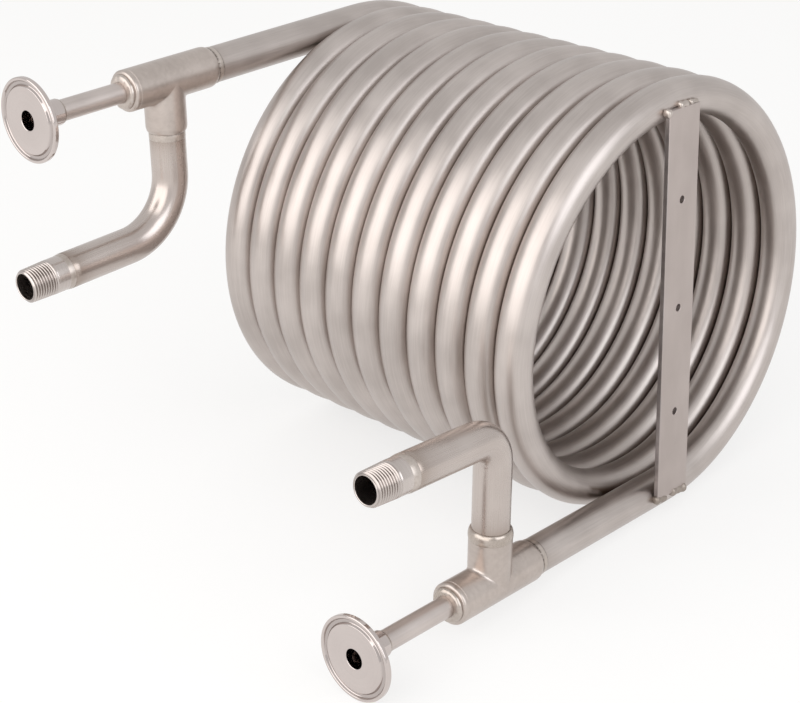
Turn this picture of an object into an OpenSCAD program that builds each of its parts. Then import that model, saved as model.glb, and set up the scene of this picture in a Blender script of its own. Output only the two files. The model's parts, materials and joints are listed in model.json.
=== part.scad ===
/* [Coil] */
// Diameter of the coil, measured at the centre of the tube
coil_d = 249; // [200:1:320]
// Full turns before the last half turn
turns = 11; // [4:1:14]
// Gap between one turn and the next
turn_gap = 0.38; // [0.2:0.01:6]

/* [Tubes] */
// Outside diameter of the outer tube
outer_tube_d = 22.22; // [18:0.01:22.3]
// Wall of the outer tube
outer_tube_wall = 1.24; // [0.9:0.01:2.2]
// Outside diameter of the inner tube
inner_tube_d = 12.7; // [9.5:0.01:15.5]
// Wall of the inner tube
inner_tube_wall = 0.9; // [0.6:0.05:1.6]

/* [Ends] */
// Slope of the upper end, up towards its port
upper_rise = 1; // [0:0.1:3]
// Length of the upper end, from the coil to the middle of its tee
upper_leg_l = 165; // [120:1:220]
// Length of the upper end, from the middle of its tee to the ferrule face
upper_port_l = 100; // [85:0.5:140]
// Length of the lower end, from the coil to the middle of its tee
lower_leg_l = 160.5; // [130:0.5:220]
// Length of the lower end, from the middle of its tee to the ferrule face
lower_port_l = 110; // [85:0.5:140]

/* [Tees] */
// Outside diameter of the tee
tee_d = 25.4; // [24:0.1:32]
// Length of the tee's run on each side of its branch
tee_half_l = 35; // [30:0.5:45]
// Length of the tee's branch from the centre of its run
tee_branch_l = 31.5; // [26:0.5:36]
// Rounding of the shoulder at each welded end of the tee
tee_shoulder_r = 1.5; // [0.5:0.1:1.5]
// Thickness of the disc that closes the tee around the inner tube
cap_t = 3; // [2:0.1:5]
// Rounding of the disc's outer edge
cap_edge_r = 1.5; // [0.5:0.1:2]

/* [Water connections] */
// Wall of the bent tubes, whose outside is that of the outer tube
water_tube_wall = 1.8; // [1:0.1:2.4]
// Distance from the inner tube's axis to the end of a square upper bend
upper_drop = 96.4; // [80:0.1:120]
// Bend radius of the upper water connection, at the centre of the tube
upper_bend_r = 38; // [24:0.5:46]
// Angle of the upper bend, which springs back a little from square
upper_bend_angle = 88.6; // [80:0.1:92]
// Length of the upper water connection, from its bend to the end of its nipple
upper_water_l = 77; // [50:0.5:110]
// Distance from the inner tube's axis to the end of a square lower bend
lower_drop = 95.6; // [80:0.1:120]
// Bend radius of the lower water connection, at the centre of the tube
lower_bend_r = 18; // [14:0.5:45]
// Angle of the lower bend, which springs back a little from square
lower_bend_angle = 88; // [80:0.1:92]
// Length of the lower water connection, from its bend to the end of its nipple
lower_water_l = 84; // [50:0.5:110]
// Length of the nipple
nipple_l = 29.5; // [24:0.5:40]
// Outside diameter of the nipple
nipple_d = 21.34; // [18:0.01:22]
// Bore of the nipple
nipple_bore_d = 15.8; // [12:0.1:17]
// Length of the nipple's taper thread
thread_l = 18; // [12:0.5:22]

/* [Ferrules] */
// Diameter of the ferrule's clamp flange
ferrule_d = 50.5; // [48:0.1:52]
// Thickness of the flange's rim
ferrule_rim_t = 2.87; // [2:0.01:4]
// Slope of the flange's back, where the clamp grips it
ferrule_back_angle = 20; // [15:1:25]
// Length of the ferrule
ferrule_l = 21.5; // [15:0.5:30]
// Step from the inner tube's outside up to the ferrule's neck
ferrule_step = 1.45; // [0.8:0.05:3]
// Wall of the ferrule's neck, thicker than the step, so that the tube butts against it
ferrule_neck_wall = 1.9; // [1.8:0.05:4]
// Diameter of the middle of the gasket groove
groove_d = 43.6; // [40:0.1:45]
// Radius of the gasket groove's round section
groove_r = 1.6; // [1:0.1:2]

/* [Bracket] */
// Width of the flat bar
bracket_w = 29.2; // [20:0.1:40]
// Thickness of the flat bar
bracket_t = 3.2; // [2:0.1:6]
// Distance from each end of the flat bar to the centre of the last turn's tube
bracket_inset = 1.5; // [-6:0.1:6]
// Distance of the bar's middle from the coil's axis, along the ends
bracket_offset = -3.9; // [-10:0.1:10]
// Lean of the bar from upright, away from the ports
bracket_lean = 3.1; // [-5:0.1:5]
// Diameter of the three holes
bracket_hole_d = 4.5; // [3:0.1:8]
// Distance from hole to hole
bracket_hole_pitch = 67.5; // [40:0.5:80]

/* [Welds] */
// Width of the bead that joins a tube to the tee's shoulder
shoulder_bead_w = 4.6; // [3:0.1:6]
// Width of the bead that joins the nipple to its tube
nipple_bead_w = 3; // [2:0.1:5]
// Height of a butt weld's bead over the tube
bead_h = 0.5; // [0.2:0.05:1]
// Leg length of a fillet weld around the inner tube
fillet_w = 3; // [2:0.1:4]

/* [Hidden] */

// Facets of the preview and of the display mesh
$fn = 96;

steel = "#b9b0a9";
bright_steel = "#d2ccc8";
weld_steel = "#a39a92";

// Clearance between pieces that are welded to each other
seat = 0.1;

coil_r = coil_d / 2;
outer_r = outer_tube_d / 2;
outer_bore_r = outer_r - outer_tube_wall;
inner_r = inner_tube_d / 2;
inner_bore_r = inner_r - inner_tube_wall;

// The coil is a chain of half circles that meet at its top and its bottom. Each one lies in a plane
// that leans by half_lean, so that it carries the tube on by half a pitch and the joints are smooth.
// The turn at each joint has a cosine of six places, so that the joints close without a step.
joint_turn_places = 1e6;
pitch = outer_tube_d + turn_gap;
half_lean = acos(round(cos(2 * atan(pitch / 4 / coil_r)) * joint_turn_places) / joint_turn_places) / 2;
half_r = coil_r / cos(half_lean);
half_turns = 2 * turns + 1;
coil_start_x = -pitch * half_turns / 4;

bracket_l = coil_d - 2 * bracket_inset;

// The lower end rises so that the coil and the back edge of the lower ferrule's rim meet one floor.
upper_l = upper_leg_l + upper_port_l;
lower_l = lower_leg_l + lower_port_l;
rim_l = lower_l - ferrule_rim_t;
ferrule_r = ferrule_d / 2;
rim_reach = norm([coil_r + ferrule_r, rim_l]);
lower_rise = acos((coil_r + outer_r) / rim_reach) - atan2(rim_l, coil_r + ferrule_r);

tee_r = tee_d / 2;
tee_bore_r = outer_bore_r;
ferrule_neck_r = inner_r + ferrule_step;
ferrule_bore_r = ferrule_neck_r - ferrule_neck_wall;
nipple_r = nipple_d / 2;
nipple_bore_r = nipple_bore_d / 2;
nipple_end_r = nipple_r - thread_l / 32;
bend_tube_r = outer_r;
bend_tube_bore_r = bend_tube_r - water_tube_wall;

// Reach of a rim to the front of the coil's axis: it is `along` the end and `height` over the axis, and it
// faces `tilt` away from level.
function front(rise, along, height, rim_r, tilt) =
    along * cos(rise) - height * sin(rise) + rim_r * sin(abs(tilt));

// Place of a nipple's end along its end of the chiller, and its distance across from the inner tube's axis
function water_along(leg_l, bend_r, angle, l) = leg_l + bend_r * (1 - cos(angle)) + l * sin(angle);
function water_across(drop, bend_r, angle, l) = drop - bend_r * (1 - sin(angle)) + l * cos(angle);

// Place of the coil's centre over the origin, which is at the bottom centre of the whole
floor_to_axis = coil_r + outer_r;
back_y = half_r + outer_r;
front_y = max([
    front(upper_rise, upper_l, half_r, ferrule_r, upper_rise),
    front(lower_rise, lower_l, -half_r, ferrule_r, lower_rise),
    front(upper_rise, water_along(upper_leg_l, upper_bend_r, upper_bend_angle, upper_water_l),
        half_r - water_across(upper_drop, upper_bend_r, upper_bend_angle, upper_water_l),
        nipple_end_r, upper_rise + upper_bend_angle - 90),
    front(lower_rise, water_along(lower_leg_l, lower_bend_r, lower_bend_angle, lower_water_l),
        water_across(lower_drop, lower_bend_r, lower_bend_angle, lower_water_l) - half_r,
        nipple_end_r, lower_rise + 90 - lower_bend_angle),
]);
coil_y = (front_y - back_y) / 2;

module standing() translate([0, coil_y, floor_to_axis]) children();

// Centre of half circle i along the coil's axis, and its plane's turn
function half_x(i) = coil_start_x + pitch * (i / 2 + 1 / 4);
function half_turn_y(i) = i % 2 == 0 ? -90 - half_lean : -90 + half_lean;

module ring_section(r, bore_r) difference() {
    circle(r);
    circle(bore_r);
}

// Half circles from first to last of the coiled tube, where i is the one that is reached so far. Each
// half carries the next one, turned about the joint between them by the lean of both.
module coil_from(i, first, last, r, bore_r) {
    begin = i == 0 ? upper_rise : i % 2 * 180;
    end = i == half_turns ? 180 + lower_rise : i % 2 * 180 + 180;
    joint_x = i % 2 == 0 ? -half_r : half_r;
    if (i >= first)
        rotate_extrude(angle = end - begin, start = begin)
            translate([half_r, 0]) ring_section(r, bore_r);
    if (i < last)
        translate([joint_x, 0, 0])
            rotate([0, (i % 2 == 0 ? 2 : -2) * half_lean, 0])
                translate([-joint_x, 0, 0])
                    coil_from(i + 1, first, last, r, bore_r);
}

module coil_tube(first, last, r, bore_r)
    standing() translate([half_x(0), 0, 0]) rotate([0, half_turn_y(0), 0])
        coil_from(0, first, last, r, bore_r);

// Frame of each end: the origin where the tube leaves the coil, +Z along the tube, -X along the branch
module upper_end()
    standing() translate([half_x(0), 0, 0])
        rotate([0, half_turn_y(0), 0]) rotate([0, 0, upper_rise])
            translate([half_r, 0, 0]) rotate([90, 0, 0]) rotate([0, 0, -half_lean])
                children();

module lower_end()
    standing() translate([half_x(half_turns), 0, 0])
        rotate([0, half_turn_y(half_turns), 0]) rotate([0, 0, 180 + lower_rise])
            translate([half_r, 0, 0]) rotate([-90, 0, 0]) rotate([0, 0, half_lean])
                children();

module tube(r, bore_r, z0, z1) translate([0, 0, z0]) difference() {
    cylinder(r = r, h = z1 - z0);
    translate([0, 0, -1]) cylinder(r = bore_r, h = z1 - z0 + 2);
}

// Half section of a fitting's arm from its middle out to its rounded shoulder at l
module arm_section(l) difference() {
    union() {
        square([tee_r, l - tee_shoulder_r]);
        square([tee_r - tee_shoulder_r, l]);
        translate([tee_r - tee_shoulder_r, l - tee_shoulder_r]) circle(tee_shoulder_r);
    }
    translate([-tee_r, -1]) square([tee_r, l + 2]);
}

module tee(leg_l) translate([0, 0, leg_l]) difference() {
    union() {
        mirror([0, 0, 1]) rotate_extrude() arm_section(tee_half_l);
        cylinder(r = tee_r, h = tee_half_l - cap_t);
        rotate([0, -90, 0]) rotate_extrude() arm_section(tee_branch_l);
    }
    translate([0, 0, -tee_half_l - 1]) cylinder(r = tee_bore_r, h = 2 * tee_half_l + 2);
    rotate([0, -90, 0]) cylinder(r = tee_bore_r, h = tee_branch_l + 1);
}

// Disc with a rounded edge, which closes the tee and holds the inner tube
module cap(leg_l) translate([0, 0, leg_l + tee_half_l - cap_t + seat]) rotate_extrude() difference() {
    union() {
        square([tee_r, cap_t - cap_edge_r]);
        square([tee_r - cap_edge_r, cap_t]);
        translate([tee_r - cap_edge_r, cap_t - cap_edge_r]) circle(cap_edge_r);
    }
    translate([-tee_r, -cap_t]) square([tee_r + inner_r + seat, 3 * cap_t]);
}

// Clamp ferrule: flat face with a gasket groove, thin rim, sloping back and a neck for the tube
module ferrule(end_l) translate([0, 0, end_l]) mirror([0, 0, 1]) rotate_extrude() difference() {
    polygon([
        [ferrule_bore_r, 0],
        [ferrule_r, 0],
        [ferrule_r, ferrule_rim_t],
        [ferrule_neck_r, ferrule_rim_t + (ferrule_r - ferrule_neck_r) * tan(ferrule_back_angle)],
        [ferrule_neck_r, ferrule_l],
        [ferrule_bore_r, ferrule_l],
    ]);
    translate([groove_d / 2, 0]) circle(groove_r);
}

// Frame of each water connection: the origin where its bend ends, +Z along its tube
module water_end(leg_l, drop, bend_r, angle)
    translate([bend_r - drop, 0, leg_l + bend_r]) rotate([0, angle - 90, 0])
        translate([-bend_r, 0, 0]) children();
module upper_water() upper_end()
    water_end(upper_leg_l, upper_drop, upper_bend_r, upper_bend_angle) children();
module lower_water() lower_end()
    water_end(lower_leg_l, lower_drop, lower_bend_r, lower_bend_angle) children();

// Bent tube from the branch to the end of the bend, where its straight stretch goes on in a node of its own
module water_bend(leg_l, drop, bend_r, angle) translate([0, 0, leg_l]) {
    rotate([0, -90, 0]) tube(bend_tube_r, bend_tube_bore_r, tee_branch_l, drop - bend_r);
    translate([bend_r - drop, 0, bend_r]) rotate([-90, 0, 0]) rotate([0, 0, 90])
        rotate_extrude(angle = angle) translate([bend_r, 0]) ring_section(bend_tube_r, bend_tube_bore_r);
}

// Nipple with a taper thread's outer shape, one part in sixteen on the diameter
module nipple(water_l) translate([0, 0, water_l - nipple_l]) rotate_extrude() polygon([
    [nipple_bore_r, 0],
    [nipple_r, 0],
    [nipple_r, nipple_l - thread_l],
    [nipple_end_r, nipple_l],
    [nipple_bore_r, nipple_l],
]);

// Ring of weld metal w wide around a tube of radius r, with its middle at height z, from where a tube of
// radius next_r goes on
module bead(r, next_r, z, w) translate([0, 0, z]) rotate_extrude() intersection() {
    wider_r = max(r, next_r);
    union() {
        translate([r + seat, -w / 2]) square([wider_r - r + bead_h + 1, w / 2]);
        translate([wider_r + seat, -w / 2]) square([bead_h + 1, w]);
    }
    translate([wider_r + bead_h - w, 0]) circle(w);
}

// Fillet of weld metal in the corner between a face at height z and a tube of radius r
module fillet_bead(r, z, w) translate([0, 0, z]) rotate_extrude()
    polygon([[r + seat, seat], [r + w, seat], [r + seat, w]]);

// The outer tube's coil, in one node for each full turn and one for the half turn that ends it
module outer_coil_turn(k) color(steel) coil_tube(2 * k - 2, 2 * k - 1, outer_r, outer_bore_r);
module outer_coil_last_half() color(steel)
    coil_tube(half_turns - 1, half_turns, outer_r, outer_bore_r);

module inner_coil() color(steel) coil_tube(0, half_turns, inner_r, inner_bore_r);

module upper_leg() color(steel) upper_end()
    tube(outer_r, outer_bore_r, 0, upper_leg_l - tee_half_l);
module lower_leg() color(steel) lower_end()
    tube(outer_r, outer_bore_r, 0, lower_leg_l - tee_half_l);

// Straight ends of the inner tube, through the leg, the tee and the cap to the ferrule
module upper_inner_end() color(steel) upper_end() tube(inner_r, inner_bore_r, 0, upper_l - ferrule_l);
module lower_inner_end() color(steel) lower_end() tube(inner_r, inner_bore_r, 0, lower_l - ferrule_l);

module upper_tee() color(steel) upper_end() tee(upper_leg_l);
module lower_tee() color(steel) lower_end() tee(lower_leg_l);
module upper_cap() color(steel) upper_end() cap(upper_leg_l);
module lower_cap() color(steel) lower_end() cap(lower_leg_l);
module upper_ferrule() color(bright_steel) upper_end() ferrule(upper_l);
module lower_ferrule() color(bright_steel) lower_end() ferrule(lower_l);

module upper_water_bend() color(steel) upper_end()
    water_bend(upper_leg_l, upper_drop, upper_bend_r, upper_bend_angle);
module lower_water_bend() color(steel) lower_end()
    water_bend(lower_leg_l, lower_drop, lower_bend_r, lower_bend_angle);
module upper_water_tube() color(steel) upper_water()
    tube(bend_tube_r, bend_tube_bore_r, 0, upper_water_l - nipple_l);
module lower_water_tube() color(steel) lower_water()
    tube(bend_tube_r, bend_tube_bore_r, 0, lower_water_l - nipple_l);
module upper_nipple() color(bright_steel) upper_water() nipple(upper_water_l);
module lower_nipple() color(bright_steel) lower_water() nipple(lower_water_l);

// Flat bar across the end of the coil, in the plane of the last half turn
module mounting_bracket() color(steel) standing()
    translate([half_x(half_turns - 1), bracket_offset, 0])
        rotate([0, -half_lean, 0]) rotate([-bracket_lean, 0, 0])
            translate([outer_r + 2 * seat, 0, 0]) difference() {
                translate([0, -bracket_w / 2, -bracket_l / 2]) cube([bracket_t, bracket_w, bracket_l]);
                for (k = [-1 : 1])
                    translate([-1, 0, k * bracket_hole_pitch]) rotate([0, 90, 0])
                        cylinder(d = bracket_hole_d, h = bracket_t + 2);
            }

// Bead in front of the tee's shoulder, where the tube at height z runs on in the direction of `away`
module shoulder_bead(z, away) bead(outer_r, outer_r, z + away * (shoulder_bead_w / 2 + seat), shoulder_bead_w);
module upper_leg_weld() color(weld_steel) upper_end() shoulder_bead(upper_leg_l - tee_half_l, -1);
module lower_leg_weld() color(weld_steel) lower_end() shoulder_bead(lower_leg_l - tee_half_l, -1);
module branch_weld(leg_l) translate([0, 0, leg_l]) rotate([0, -90, 0]) shoulder_bead(tee_branch_l, 1);
module upper_branch_weld() color(weld_steel) upper_end() branch_weld(upper_leg_l);
module lower_branch_weld() color(weld_steel) lower_end() branch_weld(lower_leg_l);
module upper_nipple_weld() color(weld_steel) upper_water()
    bead(bend_tube_r, nipple_r, upper_water_l - nipple_l, nipple_bead_w);
module lower_nipple_weld() color(weld_steel) lower_water()
    bead(bend_tube_r, nipple_r, lower_water_l - nipple_l, nipple_bead_w);
module upper_cap_weld() color(weld_steel) upper_end()
    fillet_bead(inner_r, upper_leg_l + tee_half_l + seat, fillet_w);
module lower_cap_weld() color(weld_steel) lower_end()
    fillet_bead(inner_r, lower_leg_l + tee_half_l + seat, fillet_w);
module upper_ferrule_weld() color(weld_steel) upper_end() mirror([0, 0, 1])
    fillet_bead(inner_r, ferrule_l - upper_l, ferrule_neck_r - inner_r);
module lower_ferrule_weld() color(weld_steel) lower_end() mirror([0, 0, 1])
    fillet_bead(inner_r, ferrule_l - lower_l, ferrule_neck_r - inner_r);

for (k = [1 : turns])
    outer_coil_turn(k);
outer_coil_last_half();
upper_leg();
lower_leg();
inner_coil();
upper_inner_end();
lower_inner_end();
upper_tee();
lower_tee();
upper_cap();
lower_cap();
upper_ferrule();
lower_ferrule();
upper_water_bend();
lower_water_bend();
upper_water_tube();
lower_water_tube();
upper_nipple();
lower_nipple();
mounting_bracket();
upper_leg_weld();
lower_leg_weld();
upper_branch_weld();
lower_branch_weld();
upper_nipple_weld();
lower_nipple_weld();
upper_cap_weld();
lower_cap_weld();
upper_ferrule_weld();
lower_ferrule_weld();
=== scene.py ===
"""Counterflow chiller: a close-wound coil of tube in tube, with its fittings and a flat bar across one end.

All lengths are in metres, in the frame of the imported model; `mm` turns a size in millimetres into metres.
"""

import json

import bmesh
import bpy
import numpy as np
from mathutils import Matrix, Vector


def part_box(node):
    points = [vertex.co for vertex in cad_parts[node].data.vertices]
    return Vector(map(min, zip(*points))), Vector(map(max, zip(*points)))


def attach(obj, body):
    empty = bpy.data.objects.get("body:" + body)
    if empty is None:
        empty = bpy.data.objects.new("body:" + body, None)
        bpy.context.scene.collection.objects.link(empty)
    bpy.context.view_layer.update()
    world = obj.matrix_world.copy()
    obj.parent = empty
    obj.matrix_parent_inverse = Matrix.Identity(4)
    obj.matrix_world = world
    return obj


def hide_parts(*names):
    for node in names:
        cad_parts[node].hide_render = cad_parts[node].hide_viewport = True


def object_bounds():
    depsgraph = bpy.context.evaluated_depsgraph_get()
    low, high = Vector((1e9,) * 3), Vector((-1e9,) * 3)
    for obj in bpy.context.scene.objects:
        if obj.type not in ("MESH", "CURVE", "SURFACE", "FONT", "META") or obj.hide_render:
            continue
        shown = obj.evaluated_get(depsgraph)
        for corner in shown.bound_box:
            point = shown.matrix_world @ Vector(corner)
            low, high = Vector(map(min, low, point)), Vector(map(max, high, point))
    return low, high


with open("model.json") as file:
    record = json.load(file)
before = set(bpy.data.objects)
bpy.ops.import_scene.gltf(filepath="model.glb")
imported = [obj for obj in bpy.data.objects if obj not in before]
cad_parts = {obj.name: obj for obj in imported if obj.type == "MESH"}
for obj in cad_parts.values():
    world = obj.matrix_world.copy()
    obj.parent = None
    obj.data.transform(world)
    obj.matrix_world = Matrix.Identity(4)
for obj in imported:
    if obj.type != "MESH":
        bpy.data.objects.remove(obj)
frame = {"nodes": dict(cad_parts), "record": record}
cad_box = [list(corner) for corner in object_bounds()]

# ---------------------------------------------------------------------------------------------------------
# Outer tube
# One length of welded 304 stainless tube, 22.2 mm over the outside. It is wound cold into eleven and a half
# close turns with the inner tube already in it, and both ends run out straight to stop in a tee.
# ---------------------------------------------------------------------------------------------------------
mm = 0.001
tube_r = 22.22 / 2 * mm
tube_wall = 1.24 * mm
half_turns = 23
steps_a_turn = 128
tube_columns = 32
leg_steps = 24
tee_half_l = 35 * mm
bore_r = tube_r - tube_wall
weld_tint, weld_tint_reach = 0.5, 5 * mm
# How dark the painted shade is along the line where two turns touch, and the share of the tube's radius at
# which it starts.
touch_tint, touch_start = 0.9, 0.93
touch_margin = 0.5 * mm
mounts = {mount["name"]: mount for mount in frame["record"]["mounts"]}


def unit(vectors):
    """Vectors divided by their own lengths."""
    return vectors / np.linalg.norm(vectors, axis=-1, keepdims=True)


def box_of(prefix):
    """Lowest and highest corner of all the nodes whose names start with prefix."""
    corners = np.array([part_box(name) for name in frame["nodes"] if name.startswith(prefix)])
    return corners[:, 0].min(0), corners[:, 1].max(0)


def end_of(side):
    """Frame of the upper or the lower end: where its tee is, which way it points, and where its lines end.

    The branch is the part of the step from the product line to the water line that is square to the product
    line, and the middle of the weld on the branch gives the tee's place along it. The branch's line and the
    water line would meet at a corner that is `drop` from the tee.
    """
    product, water = mounts[side + "_product_bore"], mounts[side + "_water_bore"]
    out, water_out = unit(np.array(product["axis"])), unit(np.array(water["axis"]))
    on_product, on_water = np.array(product["pos_m"]), np.array(water["pos_m"])
    step = on_water - on_product
    branch = unit(step - (step @ out) * out)
    weld_low, weld_high = box_of(side + "_branch_weld")
    tee = on_product + ((weld_low + weld_high) / 2 - on_product) @ out * out
    from_tee = on_water - tee
    return {
        "tee": tee,
        "out": out,
        "branch": branch,
        "water_out": water_out,
        "drop": (from_tee - from_tee @ out / (water_out @ out) * water_out) @ branch,
        "port_l": (on_product - tee) @ out + product["dims"]["length_mm"] / 2 * mm,
        "nipple": on_water - water["dims"]["length_mm"] / 2 * mm * water_out,
    }


ends = {"upper": end_of("upper"), "lower": end_of("lower")}
coil_low, coil_high = box_of("outer_coil")
coil_centre = (coil_low + coil_high) / 2
_, deep_r, high_r = (coil_high - coil_low) / 2 - tube_r
pitch = (coil_high[0] - coil_low[0] - 2 * tube_r) / (half_turns / 2)
first_angle = np.arcsin(ends["upper"]["out"][2] * deep_r / high_r)
last_angle = half_turns * np.pi + np.arcsin(ends["lower"]["out"][2] * deep_r / high_r)


def coil_line(angles):
    """Centre line of the coil at angles from its top, going down the back.

    Half circles lean left and right in turn, so x climbs by half a pitch in each as (1 - cos) / 2, while
    y is the sine and z the cosine of the angle.
    """
    half = np.floor(angles / np.pi)
    climb = half + (1 - np.cos(angles - half * np.pi)) / 2
    x = coil_low[0] + tube_r + pitch / 2 * climb
    y = coil_centre[1] + deep_r * np.sin(angles)
    z = coil_centre[2] + high_r * np.cos(angles)
    return np.stack([x, y, z], -1)


def wound_line(steps, upper_end, lower_end):
    """Centre line of a whole wound tube and the direction at each point that faces out from the coil.

    A straight run leads from upper_end metres past the upper tee's middle to the coil, and one like it from
    the coil to lower_end past the lower tee's middle, with points closer together near the tees.
    """
    angles = np.linspace(first_angle, last_angle, int(steps * half_turns / 2))
    coil = coil_line(angles)
    reach = (1 - np.cos(np.linspace(0, np.pi, leg_steps)))[:-1, None] / 2
    upper_tip = ends["upper"]["tee"] + upper_end * ends["upper"]["out"]
    lower_tip = ends["lower"]["tee"] + lower_end * ends["lower"]["out"]
    line = np.concatenate([
        upper_tip + (coil[0] - upper_tip) * reach,
        coil,
        (lower_tip + (coil[-1] - lower_tip) * reach)[::-1],
    ])
    away = np.stack([0 * angles, np.sin(angles), np.cos(angles)], -1)
    before, after = (np.repeat(last, leg_steps - 1, 0) for last in (away[:1], away[-1:]))
    return line, np.concatenate([before, away, after])


def carried(line, away, radii, columns):
    """Rings carried along a line: ring k is line[k] + radii[k] * (cos a * side + sin a * across).

    side is `away` made square to the line, and across is the line's direction crossed with it. Returns the
    points and, for the grain, how far along and round the tube each one is.
    """
    heading = unit(np.gradient(line, axis=0))
    side = unit(away - (away * heading).sum(-1, keepdims=True) * heading)
    across = np.cross(heading, side)
    turn = np.linspace(0, 2 * np.pi, columns, endpoint=False)
    radii = np.broadcast_to(np.asarray(radii), (len(line),))[:, None]
    cosine, sine = radii * np.cos(turn), radii * np.sin(turn)
    points = line[:, None] + cosine[..., None] * side[:, None] + sine[..., None] * across[:, None]
    far = np.concatenate([[0], np.cumsum(np.linalg.norm(np.diff(line, axis=0), axis=1))])
    grain = np.stack([np.broadcast_to(far[:, None], cosine.shape), cosine, sine], -1)
    return points, grain


def hollow_tube(line, away, outside_r, bore_r, columns):
    """Rings of a tube with a wall, as a closed chain: out along the outside and back along the bore."""
    outside, outside_grain = carried(line, away, outside_r, columns)
    bore, bore_grain = carried(line, away, bore_r, columns)
    return np.concatenate([outside, bore[::-1]]), np.concatenate([outside_grain, bore_grain[::-1]])


def grid_faces(rows, columns, first=0, closed=True):
    """Corners of the quads of a grid of rows by columns, numbered from first.

    It closes round its columns and, if closed, from its last row to its first.
    """
    row = np.arange(rows if closed else rows - 1)[:, None]
    column = np.arange(columns)[None]
    here, there = row * columns, (row + 1) % rows * columns
    after = (column + 1) % columns
    return first + np.stack([here + column, here + after, there + after, there + column], -1).reshape(-1, 4)


def merged_mesh(name, points, grain, faces, heat=None):
    """A mesh with its grain, and its heat tint and painted shade, as attributes, in which points that meet
    are merged into one.

    A closed shell's faces are turned outwards by the sign of the volume they enclose.
    """
    mesh = bpy.data.meshes.new(name)
    mesh.from_pydata(points.reshape(-1, 3).tolist(), [], faces.tolist())
    layer = mesh.attributes.new("grain", "FLOAT_VECTOR", "POINT")
    layer.data.foreach_set("vector", grain.reshape(-1).astype(np.float32))
    if heat is not None:
        layer = mesh.attributes.new("heat_tint", "FLOAT", "POINT")
        layer.data.foreach_set("value", heat.reshape(-1).astype(np.float32))
    same_point = 0.001 * mm
    shell = bmesh.new()
    shell.from_mesh(mesh)
    bmesh.ops.remove_doubles(shell, verts=shell.verts, dist=same_point)
    closed = not any(edge.is_boundary for edge in shell.edges)
    if closed and shell.calc_volume(signed=True) < 0:
        bmesh.ops.reverse_faces(shell, faces=shell.faces)
    shell.to_mesh(mesh)
    shell.free()
    return mesh


def fasten(name, mesh, material, nodes=()):
    """Shows a mesh as a piece that rides with the chiller and stands for the CAD nodes named."""
    piece = bpy.data.objects.new(name, mesh)
    bpy.context.scene.collection.objects.link(piece)
    mesh.materials.append(material)
    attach(piece, "root")
    if nodes:
        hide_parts(*nodes)
    return piece


def make_piece(name, points, grain, faces, material, nodes=(), heat=None):
    """A closed piece whose vertex normals are the sums of their faces' area vectors.

    So a flat stays flat right up to a small rounding beside it.
    """
    mesh = merged_mesh(name, points, grain, faces, heat)
    places = np.empty(len(mesh.vertices) * 3)
    mesh.vertices.foreach_get("co", places)
    places = places.reshape(-1, 3)
    corners = np.empty(len(mesh.loop_triangles) * 3, int)
    mesh.loop_triangles.foreach_get("vertices", corners)
    corners = corners.reshape(-1, 3)
    a, b, c = places[corners[:, 0]], places[corners[:, 1]], places[corners[:, 2]]
    areas = np.cross(b - a, c - a)
    normals = np.zeros_like(places)
    for corner in corners.T:
        np.add.at(normals, corner, areas)
    mesh.shade_smooth()
    mesh.normals_split_custom_set_from_vertices(unit(normals).tolist())
    fasten(name, mesh, material, nodes)


def linear(hex_colour):
    """sRGB hex colour as linear red, green, blue and alpha."""
    srgb = np.array([int(hex_colour[i:i + 2], 16) / 255 for i in (1, 3, 5)])
    light = np.where(srgb <= 0.04045, srgb / 12.92, ((srgb + 0.055) / 1.055) ** 2.4)
    return (*light.tolist(), 1.0)


def add(tree, kind, settings=None, **sockets):
    """Adds a node, with its settings by name, and gives each input socket a value or a link.

    A socket is named in small letters with underscores, or as _0, _1 by its place.
    """
    made = tree.nodes.new(kind)
    for name, value in (settings or {}).items():
        setattr(made, name, value)
    for name, value in sockets.items():
        spoken = name.replace("_", " ").title()
        socket = made.inputs[int(name[1:])] if name[0] == "_" else made.inputs[spoken]
        if isinstance(value, bpy.types.NodeSocket):
            tree.links.new(value, socket)
        else:
            socket.default_value = value
    return made


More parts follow.
